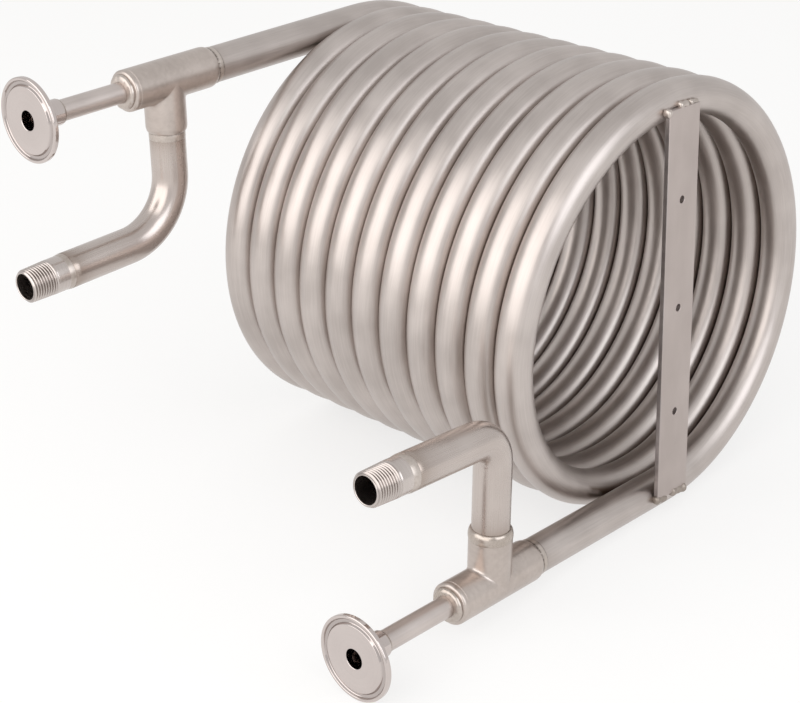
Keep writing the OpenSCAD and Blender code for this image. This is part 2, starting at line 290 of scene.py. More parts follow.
def stainless(name, light, dark, grain_mm, smooth, rough, relief_mm, heat_tint="#9c8468"):
    """A stainless finish whose grain is stretched noise: grain_mm gives its size along and round the piece.

    Colour runs from dark to light, and roughness from smooth to rough, with a cloud made of broad patches and
    the grain's lines; the faint marks of handling add roughness. The colour is multiplied towards the tint by
    an attribute that holds the heat tint beside welds and painted shade in creases and recesses.
    """
    patch_mm, mark_mm = 34, 5
    line_share = 0.6
    mark_rough = 0.06
    material = bpy.data.materials.new(name)
    material.use_nodes = True
    tree = material.node_tree
    tree.nodes.clear()
    place = add(tree, "ShaderNodeTexCoord").outputs["Object"]
    grain = add(tree, "ShaderNodeAttribute", {"attribute_name": "grain"}).outputs["Vector"]
    long, wide = grain_mm
    scale = (1 / (long * mm), 1 / (wide * mm), 1 / (wide * mm))
    stretched = add(tree, "ShaderNodeVectorMath", {"operation": "MULTIPLY"}, _0=grain, _1=scale).outputs[0]
    lines = add(tree, "ShaderNodeTexNoise", vector=stretched, scale=1.0, detail=3.0, roughness=0.6).outputs[0]
    patches = add(tree, "ShaderNodeTexNoise", vector=place, scale=1 / (patch_mm * mm), detail=2.0).outputs[0]
    marks = add(tree, "ShaderNodeTexNoise", vector=place, scale=1 / (mark_mm * mm), detail=4.0, roughness=0.7,
                distortion=0.6).outputs[0]
    # Noise stays near 0.5, so only its strongest marks count, and the cloud's middle range is spread out.
    marks = add(tree, "ShaderNodeMapRange", _0=marks, _1=0.6, _2=0.75, _3=0.0, _4=1.0).outputs[0]
    cloud = add(tree, "ShaderNodeMath", {"operation": "MULTIPLY_ADD"}, _0=lines, _1=line_share,
                _2=-line_share / 2).outputs[0]
    cloud = add(tree, "ShaderNodeMath", {"operation": "ADD", "use_clamp": True}, _0=cloud,
                _1=patches).outputs[0]
    shade = add(tree, "ShaderNodeMapRange", _0=cloud, _1=0.3, _2=0.7, _3=0.0, _4=1.0).outputs[0]
    colour = add(tree, "ShaderNodeMix", {"data_type": "RGBA"}, _0=shade, _6=linear(dark),
                 _7=linear(light)).outputs[2]
    heat = add(tree, "ShaderNodeAttribute", {"attribute_name": "heat_tint"}).outputs["Fac"]
    tinted = add(tree, "ShaderNodeMix", {"data_type": "RGBA", "blend_type": "MULTIPLY"}, _0=heat, _6=colour,
                 _7=linear(heat_tint)).outputs[2]
    gloss = add(tree, "ShaderNodeMapRange", _0=cloud, _1=0.25, _2=0.75, _3=smooth, _4=rough).outputs[0]
    gloss = add(tree, "ShaderNodeMath", {"operation": "MULTIPLY_ADD"}, _0=marks, _1=mark_rough,
                _2=gloss).outputs[0]
    relief = add(tree, "ShaderNodeBump", strength=1.0, distance=relief_mm * mm, height=lines).outputs[0]
    steel = add(tree, "ShaderNodeBsdfPrincipled", base_color=tinted, metallic=1.0, roughness=gloss,
                normal=relief).outputs[0]
    add(tree, "ShaderNodeOutputMaterial", surface=steel)
    return material


# Drawn and bright annealed, then wiped: satin, with fine lines along the tube.
drawn_tube = stainless("drawn_stainless_tube", "#c8bfba", "#b7aea9", (26, 0.8), 0.33, 0.43, 0.002, "#8c7259")

line, away = wound_line(steps_a_turn, -tee_half_l, -tee_half_l)
points, grain = hollow_tube(line, away, tube_r, bore_r, tube_columns)
to_weld = np.minimum(*(np.linalg.norm(points - end["tee"], axis=-1) - tee_half_l for end in ends.values()))
# Painted shade: a fine brown line where one turn touches the next, darkening the crease between them. There
# is none on the coil's two free sides, or on the straight ends.
touching = np.clip((np.abs(grain[..., 2]) / tube_r - touch_start) / (1 - touch_start), 0, 1)
touching *= points[..., 0] > coil_low[0] + pitch - touch_margin
touching *= points[..., 0] < coil_high[0] - pitch + touch_margin
touching[:leg_steps] = touching[len(line) - leg_steps:len(line) + leg_steps] = touching[-leg_steps:] = 0
make_piece("outer_tube", points, grain, grid_faces(*points.shape[:2]), drawn_tube,
           [name for name in frame["nodes"] if name.startswith("outer_coil")] + ["upper_leg", "lower_leg"],
           heat=weld_tint * np.exp(-np.abs(to_weld) / weld_tint_reach) + touch_tint * touching)

# ---------------------------------------------------------------------------------------------------------
# Inner tube
# The product's line: a half-inch stainless tube that runs the whole length of the outer one and comes out
# through the closed end of each tee, where it is welded in.
# ---------------------------------------------------------------------------------------------------------
inner_r = 12.7 / 2 * mm
inner_wall = 0.9 * mm
ferrule_l = 21.5 * mm
inner_steps_a_turn = 72
inner_columns = 28

# Its ends, which show, weren't bent, and were cleaned after welding: brighter than the outer tube.
clean_tube = stainless("clean_stainless_tube", "#d0c6c1", "#c3b9b4", (30, 1.2), 0.30, 0.38, 0.001)

line, away = wound_line(inner_steps_a_turn, *(end["port_l"] - ferrule_l for end in ends.values()))
points, grain = hollow_tube(line, away, inner_r, inner_r - inner_wall, inner_columns)
make_piece("inner_tube", points, grain, grid_faces(*points.shape[:2]), clean_tube,
           ["inner_coil", "upper_inner_end", "lower_inner_end"])

# ---------------------------------------------------------------------------------------------------------
# Tees
# Formed stainless fittings, wider than the tube. Hydraulic forming leaves a soft rounding in both crotches.
# Two ends are rounded down to the tube that is welded there, and the third is closed round the inner tube.
# ---------------------------------------------------------------------------------------------------------
tee_r = 25.4 / 2 * mm
tee_branch_l = 31.5 * mm
shoulder_l = 3.8 * mm
shoulder_foot_r = tube_r + 0.25 * mm
crotch_blend = 2.6 * mm
closed_l = {"upper": 30.5 * mm, "lower": 34.5 * mm}
cap_l = 3.8 * mm
cap_disc_t = 3 * mm
shoulder_clearance, cap_clearance = 1 * mm, 1.2 * mm
tee_columns = 72
body_rows = 16


def rounded(corners, closed=False, steps=5):
    """Outline through corners (across, along, radius): every corner becomes an arc that touches both sides.

    The arc starts radius / tan(half the corner) before the corner, and its centre lies on the corner's
    bisector. An open outline keeps its first and last corner as they are.
    """
    corners = np.array(corners, float)
    corner, radius = corners[:, :2], corners[:, 2:]
    before, after = unit(np.roll(corner, 1, 0) - corner), unit(np.roll(corner, -1, 0) - corner)
    half = np.arccos(np.clip((before * after).sum(1, keepdims=True), -1, 1)) / 2
    centre = corner + unit(before + after) * radius / np.sin(half)
    start = corner + before * radius / np.tan(half) - centre
    stop = corner + after * radius / np.tan(half) - centre
    square = np.stack([-start[:, 1], start[:, 0]], -1)
    turn = np.arctan2((stop * square).sum(1), (stop * start).sum(1))[:, None, None]
    share = turn * np.linspace(0, 1, steps + 1)[None, :, None]
    arcs = centre[:, None] + np.cos(share) * start[:, None] + np.sin(share) * square[:, None]
    if closed:
        return arcs.reshape(-1, 2)
    return np.concatenate([corner[:1], arcs[1:-1].reshape(-1, 2), corner[-1:]])


def blend_crotches(places, radius, blend):
    """Moves points onto the smooth union of run and branch, in the tee's own (branch, across, run) frame.

    The smooth union lowers the nearer distance by blend / 4 * (1 - difference / blend) squared. The blend
    shrinks with the cosine between the two surfaces, so nothing swells where the tubes run into each other.
    Each pass steps down the distance's own gradient.
    """
    passes = 12
    for _ in range(passes):
        x, y, z = places[..., 0], places[..., 1], places[..., 2]
        flat, back = np.zeros_like(x), np.minimum(x, 0)
        run_out, branch_out = np.stack([x, y, flat], -1), np.stack([back, y, z], -1)
        run_gap = np.linalg.norm(run_out, axis=-1) - radius
        branch_gap = np.linalg.norm(branch_out, axis=-1) - radius
        run_out, branch_out = unit(run_out), unit(branch_out)
        width = blend * np.clip(1 - (run_out * branch_out).sum(-1), 0.001, 1)
        share = np.clip(0.5 + (branch_gap - run_gap) / width / 2, 0, 1)[..., None]
        near = np.clip(1 - np.abs(run_gap - branch_gap) / width, 0, 1)
        gap = np.minimum(run_gap, branch_gap) - near ** 2 * width / 4
        slope = share * run_out + (1 - share) * branch_out
        places = places - gap[..., None] * slope / (slope ** 2).sum(-1, keepdims=True)
    return places


def tee_arm(axes, meeting, outline, body_l):
    """One arm of a tee in its own frame: rings from the seam with the other arms to its end and back inside.

    axes are the rows (arm, angle 0 and angle 90) of the arm's rings. The seam is where two equal tubes cross,
    at meeting(cosine of the angle) * radius along the arm, and rows crowd towards it as a power of their
    share. The outline goes on from the end of the body, over the shoulder and the end face, to the bore.
    """
    crowding = 1.7
    angle = np.linspace(0, 2 * np.pi, tee_columns, endpoint=False)
    seam = meeting(np.cos(angle))[None]
    share = np.linspace(0, 1, body_rows)[:, None] ** crowding
    body = seam * tee_r + (body_l - seam * tee_r) * share
    outline_r, outline_l = (np.repeat(outline[:, i:i + 1], tee_columns, 1) for i in (0, 1))
    along = np.concatenate([body, outline_l, seam * bore_r])
    radius = np.concatenate([0 * body + tee_r, outline_r, 0 * seam + bore_r])
    rings = np.stack([along, radius * np.cos(angle), radius * np.sin(angle)], -1) @ np.array(axes, float)
    rings[:body_rows] = blend_crotches(rings[:body_rows], tee_r, crotch_blend)
    return rings


def welded_end(length):
    """Outline of an arm whose shoulder falls in a quarter of an ellipse to just above the tube."""
    shoulder_steps = 10
    turn = np.linspace(0, np.pi / 2, shoulder_steps)[:, None]
    radius = shoulder_foot_r + (tee_r - shoulder_foot_r) * np.cos(turn)
    shoulder = np.concatenate([radius, length + shoulder_l * (np.sin(turn) - 1)], 1)
    face = length + 0.06 * mm
    end_face = rounded([
        (shoulder_foot_r, length, 0),
        (shoulder_foot_r - 0.1 * mm, face, 0.05 * mm),
        (bore_r, face, 0.2 * mm),
        (bore_r, length - shoulder_l, 0),
    ])
    return np.concatenate([shoulder[:-1], end_face])


def closed_end(length):
    """Outline of the closed arm: a fine joint line, then a disc with a soft rim round the inner tube."""
    joint = length - cap_l
    groove_w, groove_depth = 0.14 * mm, 0.16 * mm
    hole_r = inner_r + 0.05 * mm
    inside = length - cap_disc_t
    return rounded([
        (tee_r, joint - 0.8 * mm, 0),
        (tee_r, joint - groove_w, 0.08 * mm),
        (tee_r - groove_depth, joint, 0.03 * mm),
        (tee_r, joint + groove_w, 0.08 * mm),
        (tee_r, length, 1.9 * mm),
        (hole_r, length, 0.15 * mm),
        (hole_r, inside, 0.3 * mm),
        (bore_r, inside, 0.3 * mm),
        (bore_r, inside - 1 * mm, 0),
    ])


# Formed and then brushed by hand: a softer, cloudier satin than the tube's.
formed_tee = stainless("formed_stainless_tee", "#c8bdb6", "#b8ada6", (9, 2.4), 0.27, 0.36, 0.002)

for side, end in ends.items():
    axes = np.array([end["branch"], np.cross(end["out"], end["branch"]), end["out"]])
    arms = [
        tee_arm([(1, 0, 0), (0, 0, 1), (0, 1, 0)], np.abs, welded_end(tee_branch_l),
                tee_branch_l - shoulder_l - shoulder_clearance),
        tee_arm([(0, 0, 1), (1, 0, 0), (0, 1, 0)], lambda cosine: np.maximum(cosine, 0),
                closed_end(closed_l[side]), closed_l[side] - cap_l - cap_clearance),
        tee_arm([(0, 0, -1), (1, 0, 0), (0, 1, 0)], lambda cosine: np.maximum(cosine, 0),
                welded_end(tee_half_l), tee_half_l - shoulder_l - shoulder_clearance),
    ]
    points = [(arm @ axes + end["tee"]).reshape(-1, 3) for arm in arms]
    first = np.cumsum([0] + [len(arm) for arm in points])
    faces = [grid_faces(len(arm), tee_columns, start, closed=False) for arm, start in zip(arms, first)]
    # Each arm's rings wind its own way round, so two of them are turned to agree with the third.
    faces[0] = faces[0][:, ::-1]
    faces[2] = faces[2][:, ::-1]
    points = np.concatenate(points)
    make_piece(f"{side}_formed_tee", points, points - end["tee"], np.concatenate(faces), formed_tee,
               [f"{side}_tee", f"{side}_cap"])

# ---------------------------------------------------------------------------------------------------------
# Water connections
# A short tube of the outer tube's size, bent through nearly a right angle: the upper one on a wide former,
# the lower one tight. One end is butt welded to the tee's branch and the other to the nipple.
# ---------------------------------------------------------------------------------------------------------
bend_bore_r = 9.3 * mm
bend_r = {"upper": 38 * mm, "lower": 18 * mm}
bend_columns = 48
bend_steps = 40
straight_steps = 12
bend_tint, bend_tint_reach = 0.4, 3 * mm

# Bent after drawing: the bend pulls the satin smoother than on the coil.
bent_tube = stainless("bent_stainless_tube", "#c7bdb7", "#bdb2ac", (30, 0.6), 0.24, 0.30, 0.001)

for side, end in ends.items():
    radius = bend_r[side]
    bend = np.arccos(end["branch"] @ end["water_out"])
    turn = np.linspace(0, bend, bend_steps)[:, None]
    arc = end["tee"] + (end["drop"] - radius * np.tan(bend / 2)) * end["branch"]
    arc = arc + radius * (np.sin(turn) * end["branch"] + (1 - np.cos(turn)) * end["out"])
    start = end["tee"] + tee_branch_l * end["branch"]
    stop = end["nipple"]
    share = np.linspace(0, 1, straight_steps)[:, None]
    line = np.concatenate([
        start + (arc[0] - start) * share[:-1],
        arc,
        arc[-1] + (stop - arc[-1]) * share[1:],
    ])
    away = np.broadcast_to(np.cross(end["out"], end["branch"]), line.shape)
    points, grain = hollow_tube(line, away, tube_r, bend_bore_r, bend_columns)
    to_weld = np.minimum(*(np.linalg.norm(points - weld, axis=-1) for weld in (start, stop))) - tube_r
    make_piece(f"{side}_bent_tube", points, grain, grid_faces(*points.shape[:2]), bent_tube,
               [f"{side}_water_bend", f"{side}_water_tube"],
               heat=bend_tint * np.exp(-np.abs(to_weld) / bend_tint_reach))

# ---------------------------------------------------------------------------------------------------------
# Nipples
# Half-inch pipe nipples, turned from heavier pipe, with a taper thread of 14 threads an inch cut on the free
# end. Its crests are bright from the die, its roots are darkened with painted shade, and its first turn is
# chamfered.
# ---------------------------------------------------------------------------------------------------------
nipple_l = mounts["upper_water_bore"]["dims"]["length_mm"] * mm
nipple_r = 21.34 / 2 * mm
nipple_bore_r = mounts["upper_water_bore"]["dims"]["r_mm"] * mm
thread_pitch = 25.4 / 14 * mm
thread_l = 18 * mm
thread_depth = 1.15 * mm
thread_taper = 1 / 32
thread_film = 0.45
chamfer_l, chamfer_slope = 1.3 * mm, 1.1
nipple_columns = 96
plain_rows = 8
rows_a_thread = 12


def turned(radius, along, centre, axis, start):
    """A turned surface: ring k has radius[k] and is along[k] from the centre, and either may vary round it.

    Angle 0 is `start` made square to the axis. The grain counts the way over the profile and round it.
    """
    columns = radius.shape[1]
    angle = np.linspace(0, 2 * np.pi, columns, endpoint=False)
    side = unit(start - (start @ axis) * axis)
    across = np.cross(axis, side)
    cosine, sine = radius * np.cos(angle), radius * np.sin(angle)
    points = centre + cosine[..., None] * side + sine[..., None] * across + along[..., None] * axis
    steps = np.hypot(np.diff(radius[:, :1], axis=0), np.diff(along[:, :1], axis=0))
    far = np.concatenate([np.zeros((1, 1)), np.cumsum(steps, axis=0)]) + 0 * cosine
    return points, np.stack([far, cosine, sine], -1)


def thread_cut(along, angle):
    """Depth of the thread: a triangle wave with blunt crests and roots that climbs one pitch a turn.

    It fades in over the last turns of the die, at the end towards the tube.
    """
    steepness, crest = 1.25, 0.12
    fade_l = 2 * thread_pitch
    phase = (along / thread_pitch - angle / (2 * np.pi)) % 1
    wave = np.clip(np.abs(phase * 2 - 1) * steepness - crest, 0, 1)
    fade = np.clip((along - (nipple_l - thread_l)) / fade_l, 0, 1)
    return thread_depth * wave * fade


# Machined: bright, with rings left by the tool. The painted shade in the thread's roots is greyer than heat
# tint.
turned_nipple = stainless("turned_stainless_nipple", "#cfc6c1", "#c2b9b4", (0.7, 30), 0.2, 0.28, 0.0015,
                          "#6b6461")

for side, end in ends.items():
    angle = np.linspace(0, 2 * np.pi, nipple_columns, endpoint=False)[None]
    plain_l = nipple_l - thread_l
    end_face_l = 0.6 * mm
    along = np.concatenate([
        np.linspace(0, plain_l, plain_rows),
        np.arange(plain_l, nipple_l - end_face_l, thread_pitch / rows_a_thread),
        nipple_l - np.array([0.5, 0.25, 0.08, 0, 0, 0]) * mm,
    ])[:, None] + 0 * angle
    tapered = nipple_r - np.clip(along - plain_l, 0, None) * thread_taper
    chamfer = np.clip(along - (nipple_l - chamfer_l), 0, None) * chamfer_slope
    cut = thread_cut(along, angle)
    outside = np.minimum(tapered - cut, tapered - chamfer)
    # The last two rings lie on the end face, between the thread's mouth and the eased edge of the bore.
    mouth = outside[-4:].mean(0)
    outside[-2] = nipple_bore_r + 0.55 * (mouth - nipple_bore_r)
    outside[-1] = nipple_bore_r + 0.45 * mm
    bore_along = nipple_l - np.array([0.12 * mm, 0.45 * mm, 2 * mm, nipple_l])[:, None] + 0 * angle
    bore = nipple_bore_r + np.array([0.15, 0, 0, 0])[:, None] * mm + 0 * angle
    points, grain = turned(np.concatenate([outside, bore]), np.concatenate([along, bore_along]),
                           end["nipple"], end["water_out"], end["branch"])
    # Painted shade: the thread's roots are darker the deeper they are cut.
    film = np.concatenate([thread_film * cut / thread_depth, 0 * bore])
    make_piece(f"{side}_pipe_nipple", points, grain, grid_faces(*points.shape[:2]), turned_nipple,
               [f"{side}_nipple"], heat=film)

# ---------------------------------------------------------------------------------------------------------
# Clamp ferrules
# Turned and polished sanitary ferrules of 50.5 mm: a flat face with a round gasket groove near its rim, a
# back that slopes at 20 degrees for the clamp, and a neck that is welded to the inner tube.
# ---------------------------------------------------------------------------------------------------------
ferrule_columns = 144
groove_r, groove_limit = (19.5 * mm, 23.9 * mm), 1.6 * mm
groove_dulling, dull_depth = 0.25, 1.2 * mm

# Polished on the lathe: close to a mirror, with hair-fine rings.
polished_face = stainless("polished_stainless_ferrule", "#cfc5c1", "#c8beba", (0.9, 60), 0.07, 0.12, 0.0006,
                          "#6d696a")

# Corners as radius, place along the axis from the face, and rounding, in millimetres: the bore, the face with
# its groove, the rim, the sloping back and the neck.
ferrule_outline = rounded(np.array([
    (5.9, -21.5, 0.3), (5.9, 0, 0.5),
    (19.9, 0, 0.35), (20.9, -1.5, 0.9), (22.7, -1.5, 0.9), (23.5, 0, 0.5),
    (25.25, 0, 0.8), (25.25, -2.87, 0.6),
    (7.8, -9.2, 1.6), (7.8, -21.5, 0.6),
]) * mm, closed=True, steps=7)
outline_r, outline_z = (ferrule_outline[:, i:i + 1] * np.ones((1, ferrule_columns)) for i in (0, 1))
# Painted shade: the turned groove's colour is darker than the face's, fully so from a set depth down.
in_groove = (outline_r > groove_r[0]) & (outline_r < groove_r[1]) & (outline_z > -groove_limit)
duller = groove_dulling * in_groove * np.clip(-outline_z / dull_depth, 0, 1)

for side, end in ends.items():
    face = end["tee"] + end["port_l"] * end["out"]
    points, grain = turned(outline_r, outline_z, face, end["out"], end["branch"])
    make_piece(f"{side}_clamp_ferrule", points, grain, grid_faces(*points.shape[:2]), polished_face,
               [f"{side}_ferrule"], heat=duller)

# ---------------------------------------------------------------------------------------------------------
# Weld beads
# Hand-laid TIG welds, brushed afterwards: low smooth bands at the tees' shoulders and the nipples, one of
# them laid up to a heavy lip, and fillets round the inner tube. Their edges keep a thin brown line, partly
# heat tint and partly painted shade of the groove at the weld's toe.
# ---------------------------------------------------------------------------------------------------------
bead_columns = 240
bead_rows = 17
bead_root = 0.4 * mm
bead_lap = 0.1 * mm
bead_sunk = 0.12 * mm
nipple_lap = 1.6 * mm
lip_lap = 2.9 * mm

weld_metal = stainless("brushed_tig_weld", "#cbc1ba", "#b3a89f", (1.5, 1.5), 0.26, 0.38, 0.006, "#4a4038")


def waves(angle, seed, amount):
    """An uneven edge: sines of rising count round the ring, whose phases come from the seed."""
    counts = np.array([2, 3, 5, 8, 13])
    phases = np.random.default_rng(seed).uniform(0, 2 * np.pi, len(counts))
    return amount * sum(np.sin(count * angle + phase) / count ** 0.4 for count, phase in zip(counts, phases))


def weld_ring(name, section, centre, axis, start, node, toe_w=0.5 * mm, browned=1.0):
    """A closed ring of weld: section(across, angle) gives its radius and place as across goes 0 to 1.

    The last row lies inside the tube's wall and closes the section. Rows crowd towards both edges, where a
    dark line is painted, partly heat tint and partly painted shade of the groove at the weld's toe: toe_w
    wide at the start and half as wide at the end, and uneven round the ring by the product of two sines.
    """
    darkest = 1.6
    angle = np.linspace(0, 2 * np.pi, bead_columns, endpoint=False)[None]
    across = (1 - np.cos(np.linspace(0, np.pi, bead_rows)))[:, None] / 2
    radius, along = section(across, angle)
    inside = radius[[-1, 0]] - bead_root
    points, grain = turned(np.concatenate([radius, inside]), np.concatenate([along, along[[-1, 0]]]), centre,
                           axis, start)
    over = grain[:bead_rows, :1, 0]
    edge = np.minimum(over, 2 * (over[-1] - over))
    unevenness = 0.7 + 0.3 * np.sin(37 * angle) * np.sin(11 * angle + 1)
    # Painted dark line at both edges: heat tint, and painted shade of the toe's groove.
    heat = browned * np.clip(darkest - edge / toe_w, 0, 1) * unevenness
    heat = np.concatenate([heat, heat[:2]])
    make_piece(name, points, grain, grid_faces(*points.shape[:2]), weld_metal, [node], heat)


def butt_weld(width, height, arch, seed, next_r=tube_r):
    """Section of a butt weld from a tube to what has the radius next_r, with both edges a little uneven.

    It stands sin(pi * across) ** arch times its height above a straight line from one to the other.
    """
    def section(across, angle):
        swell = 1 + waves(angle, seed, 0.06)
        sunk = tube_r + (next_r - tube_r) * across - bead_sunk
        radius = sunk + (height + bead_sunk) * np.sin(np.pi * across) ** arch * swell
        along = across * (width + waves(angle, seed + 1, 0.05 * mm))
        return radius, along + waves(angle, seed + 2, 0.03 * mm) * (1 - across)
    return section


def lip_weld(width, height, seed):
    """Section of a heavy weld that makes a round lip: level at the shoulder, then an arch down to the tube.

    Over the first 0.4 of its width it is sunk by a square at the shoulder's side, and over the last 0.6 it
    falls as the root of 1 - power 2.1 on the tube's side.
    """
    level = 0.4
    fullness = 2.1
    sunk = 0.3

    def section(across, angle):
        full = 1 + waves(angle, seed, 0.015)
        before, after = np.clip(1 - across / level, 0, 1), np.clip((across - level) / (1 - level), 0, 1)
        arch = np.sqrt(np.clip(1 - after ** fullness, 0, 1)) - sunk * before ** 2
        radius = tube_r - bead_lap + height * arch * full
        return radius, width * across + waves(angle, seed + 1, 0.12 * mm) * across
    return section


def fillet_weld(foot, length, power, seed):
    """Section of a fillet weld from a face down to the inner tube.

    It is foot * cos ** power high and length * sin ** power long. A power of 1 gives a quarter of an ellipse,
    and a smaller one a fuller bead.
    """
    def section(across, angle):
        turn = across * np.pi / 2
        full = 1 + waves(angle, seed, 0.03)
        radius = inner_r + foot * np.cos(turn) ** power * full
        return radius, length * np.sin(turn) ** power * full
    return section


for seed, (side, end) in enumerate(ends.items()):
    out, branch, water_out = end["out"], end["branch"], end["water_out"]
    leg_joint = end["tee"] - (tee_half_l + bead_lap) * out
    branch_joint = end["tee"] + (tee_branch_l + bead_lap) * branch
    nipple_joint = end["nipple"] - nipple_lap * water_out
    cap_face = end["tee"] + (closed_l[side] - 0.5 * bead_lap) * out
    ferrule_back = end["tee"] + (end["port_l"] - ferrule_l + bead_lap) * out
    if side == "upper":
        branch_section = butt_weld(width=4.6 * mm, height=0.12 * mm, arch=0.25, seed=seed + 10)
        nipple_height = 0.05 * mm
    else:
        # The lower branch's is laid heavier: it fills the shoulder up to a round lip as wide as the tee.
        branch_section = lip_weld(width=7.4 * mm, height=2.0 * mm, seed=seed + 10)
        branch_joint = branch_joint - lip_lap * branch
        nipple_height = 0.2 * mm
    leg_section = butt_weld(width=4.6 * mm, height=0.3 * mm, arch=0.4, seed=seed)
    nipple_section = butt_weld(width=5.6 * mm, height=nipple_height, arch=0.5, seed=seed + 20,
                               next_r=nipple_r)
    cap_section = fillet_weld(foot=4.3 * mm, length=3.0 * mm, power=0.75, seed=seed + 30)
    ferrule_section = fillet_weld(foot=1.1 * mm, length=1.4 * mm, power=0.9, seed=seed + 40)
    weld_ring(f"{side}_leg_bead", leg_section, leg_joint, -out, branch, f"{side}_leg_weld", toe_w=1.1 * mm)
    weld_ring(f"{side}_branch_bead", branch_section, branch_joint, branch, out, f"{side}_branch_weld",
              browned=0.5)
    weld_ring(f"{side}_nipple_bead", nipple_section, nipple_joint, water_out, branch, f"{side}_nipple_weld",
              browned=0.3)
    weld_ring(f"{side}_cap_bead", cap_section, cap_face, out, branch, f"{side}_cap_weld", browned=0.35)
    weld_ring(f"{side}_ferrule_bead", ferrule_section, ferrule_back, -out, branch, f"{side}_ferrule_weld",
              browned=0.35)

# ---------------------------------------------------------------------------------------------------------
# Mounting bar
# Hot-rolled stainless flat, 29 by 3.2 mm, sheared to length with its edges eased. Three drilled holes take
# the screws that hold the chiller to a frame or a wall.
# ---------------------------------------------------------------------------------------------------------
bar_w = 29.2 * mm
bar_l = 246 * mm
bar_t = mounts["bracket_hole_middle"]["dims"]["length_mm"] * mm
hole_r = mounts["bracket_hole_middle"]["dims"]["r_mm"] * mm
bar_top, bar_middle, bar_bottom = (np.array(mounts["bracket_hole_" + place]["pos_m"])
                                   for place in ("top", "middle", "bottom"))
bar_out = unit(np.array(mounts["bracket_face"]["axis"]))
bar_up = unit(bar_top - bar_bottom)
bar_side = np.cross(bar_up, bar_out)
hole_columns = 64
hole_rows = 5
eased = 0.4 * mm

# Rolled and pickled: matt, with a few smudges. The sheared edges and the holes are darker and greyer: partly
# painted shade, partly the shear's coarser finish.
rolled_bar = stainless("rolled_stainless_flat", "#beb3ae", "#b4a9a4", (60, 14), 0.42, 0.48, 0.003)
sheared_edge = stainless("sheared_stainless_edge_and_shade", "#b9b2b0", "#a39c9b", (6, 1), 0.36, 0.44, 0.006)


def holed_square():
    """Rings from a hole out to the square round it: each ray runs from the radius to the square's edge.

    Rings crowd towards the hole as a power of their share of the way.
    """
    crowding = 1.5
    angle = np.linspace(0, 2 * np.pi, hole_columns, endpoint=False)
    edge = bar_w / 2 / np.maximum(np.abs(np.cos(angle)), np.abs(np.sin(angle)))
    reach = hole_r + (edge - hole_r) * np.linspace(0, 1, hole_rows)[:, None] ** crowding
    return np.stack([reach * np.cos(angle), reach * np.sin(angle)], -1)


square = holed_square()
square_faces = grid_faces(len(square), hole_columns, closed=False)[:, ::-1]
edge_angles = np.linspace(-np.pi / 4, np.pi / 4, hole_columns // 4 + 1)
across = bar_w / 2 * np.tan(edge_angles)
column = np.arange(len(across) - 1)
strip_faces = np.stack([column, column + 1, column + 1 + len(across), column + len(across)], -1)
hole_heights = [(hole - bar_middle) @ bar_up for hole in (bar_bottom, bar_middle, bar_top)]
heights = [-bar_l / 2] + [h + s * bar_w / 2 for h in hole_heights for s in (-1, 1)] + [bar_l / 2]
# Three squares with a hole each, then the four plain strips below, between and above them.
flats, flat_faces, count = [], [], 0
for height in hole_heights:
    flats.append(square.reshape(-1, 2) + [0, height])
    flat_faces.append(square_faces + count)
    count += len(flats[-1])
for low, high in zip(heights[0::2], heights[1::2]):
    flats.append(np.stack(np.meshgrid(across, [low, high]), -1).reshape(-1, 2))
    flat_faces.append(strip_faces + count)
    count += len(flats[-1])
flat = np.concatenate(flats)
points = bar_middle + bar_out * bar_t / 2 + flat[:, :1] * bar_side + flat[:, 1:] * bar_up
grain = np.stack([flat[:, 1], flat[:, 0], 0 * flat[:, 0]], -1)
bar_mesh = merged_mesh("mounting_bar", points, grain, np.concatenate(flat_faces))
bar = fasten("mounting_bar", bar_mesh, rolled_bar, ["mounting_bracket"])
wall = bar.modifiers.new("thickness", "SOLIDIFY")
wall.thickness, wall.offset = bar_t, -1
# The rim faces take the darker edge steel, which is partly painted shade.
wall.material_offset_rim = 1
bar.data.materials.append(sheared_edge)
ease = bar.modifiers.new("eased_edges", "BEVEL")
ease.width, ease.segments, ease.limit_method = eased, 3, "ANGLE"
bar.modifiers.new("flat_faces", "WEIGHTED_NORMAL")

# ---------------------------------------------------------------------------------------------------------
# Tack welds on the bar
# The bar's ends are tacked to the last turn with short runs of uneven weld, and there is one round blob where
# the arc was broken off at the top corner.
# ---------------------------------------------------------------------------------------------------------
tack_columns = 20
tack_steps = 60
wander_l, fine_l, coarse_l = 3.1 * mm, 0.9 * mm, 2.3 * mm

# The lower tacks are a rougher copy of the weld metal whose darker, browner colour is painted shade; the
# upper ones keep the bright weld metal.
unbrushed_tack = stainless("rough_tack_weld_painted_shade", "#bcb1a9", "#a3988f", (2, 2), 0.44, 0.54, 0.006, "#4a4038")


def tack(name, start, stop, thick, wave, browned, metal):
    """A run of weld from start to stop, each (side, up, out) from the bar's middle, with closed round ends.

    Its radius is an arch, 0 at both ends, times a lumpy sum of two sines; the run wanders up and down by
    `wave`, and `browned` says how far the heat has coloured it.
    """
    start, stop = np.array(start), np.array(stop)
    share = np.linspace(0, 1, tack_steps)
    path = start + (stop - start) * share[:, None]
    length = np.linalg.norm(stop - start)
    path[:, 1] += wave * np.sin(share * length / wander_l + 0.7)
    line = bar_middle + path @ np.array([bar_side, bar_up, bar_out])
    arch = np.sqrt(np.clip(1 - np.abs(2 * share - 1) ** (2 + length / thick), 0, 1))
    lumps = 0.85 + 0.06 * np.sin(share * length / fine_l) + 0.09 * np.sin(share * length / coarse_l + 2)
    points, grain = carried(line, np.broadcast_to(bar_out, line.shape), thick * arch * lumps, tack_columns)
    make_piece(name, points, grain, grid_faces(tack_steps, tack_columns, closed=False), metal,
               heat=browned + 0 * points[..., 0])


